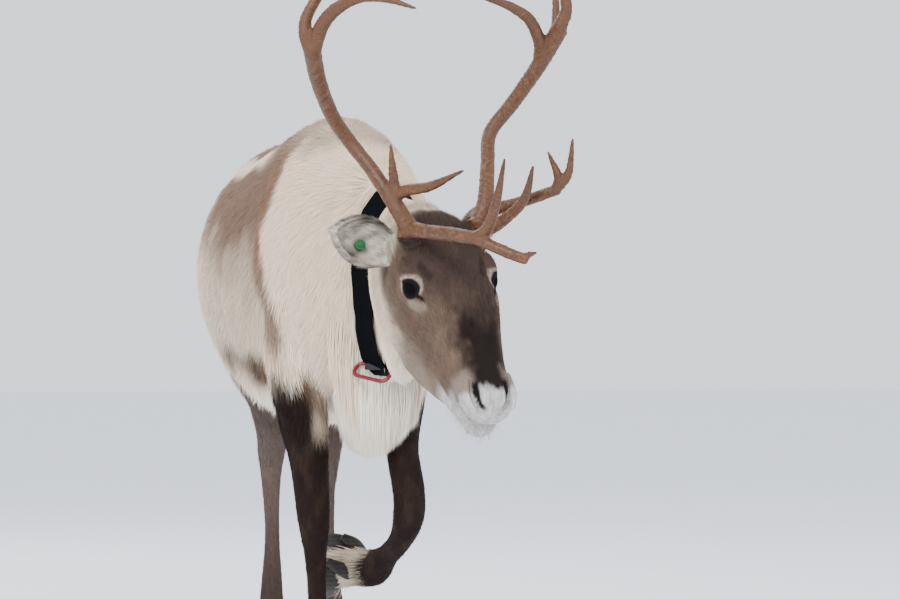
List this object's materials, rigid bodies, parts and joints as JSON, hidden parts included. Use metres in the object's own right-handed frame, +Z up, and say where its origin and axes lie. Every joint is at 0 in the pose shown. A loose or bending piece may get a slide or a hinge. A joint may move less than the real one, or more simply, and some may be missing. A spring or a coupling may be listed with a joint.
{
  "type": "reindeer",
  "caption": "Reindeer walking in its winter coat, a foreleg lifted, with branched antlers, a collar and an ear tag.",
  "frame": {"origin": "on the floor under the middle of the whole animal's bounding box", "axes": "+Z up, the animal faces -Y, so its left side is +X"},
  "size_m": [0.441, 1.3976, 1.2385],
  "materials": {
    "body_coat": "thick winter hair, cream white with a grey-brown saddle",
    "face_coat": "short hair, grey brown",
    "leg_coat": "short close hair, dark brown",
    "antler": "bone, warm brown, satin",
    "horn": "horn, dark blue grey, satin",
    "eye": "wet dark brown",
    "strap": "woven webbing, black, matt",
    "clip": "moulded, red, satin",
    "tag": "moulded, green, matt"
  },
  "bodies": {
    "root": {"head": "face_coat", "eye_right": "eye", "eye_left": "eye", "ear_right": "body_coat", "ear_left": "body_coat", "ear_tag": "tag", "antler_right_beam_lower": "antler", "antler_right_beam_upper": "antler", "antler_right_brow_tine": "antler", "antler_right_bez_tine": "antler", "antler_right_crown_main": "antler", "antler_right_crown_front": "antler", "antler_left_beam_lower": "antler", "antler_left_beam_upper": "antler", "antler_left_brow_tine": "antler", "antler_left_bez_tine": "antler", "antler_left_crown_main": "antler", "antler_left_crown_front": "antler", "antler_left_crown_back": "antler", "torso": "body_coat", "neck": "body_coat", "tail": "body_coat", "leg_front_right_upper": "leg_coat", "leg_front_right_lower": "leg_coat", "hoof_front_right_right": "horn", "dewclaw_front_right_right": "horn", "hoof_front_right_left": "horn", "dewclaw_front_right_left": "horn", "leg_front_left_upper": "leg_coat", "leg_front_left_lower": "leg_coat", "hoof_front_left_right": "horn", "dewclaw_front_left_right": "horn", "hoof_front_left_left": "horn", "dewclaw_front_left_left": "horn", "leg_hind_right_upper": "face_coat", "leg_hind_right_lower": "leg_coat", "hoof_hind_right_right": "horn", "dewclaw_hind_right_right": "horn", "hoof_hind_right_left": "horn", "dewclaw_hind_right_left": "horn", "leg_hind_left_upper": "face_coat", "leg_hind_left_lower": "leg_coat", "hoof_hind_left_right": "horn", "dewclaw_hind_left_right": "horn", "hoof_hind_left_left": "horn", "dewclaw_hind_left_left": "horn", "collar_strap": "strap", "collar_clip": "clip", "collar_keeper": "strap"}
  },
  "joints": []
}
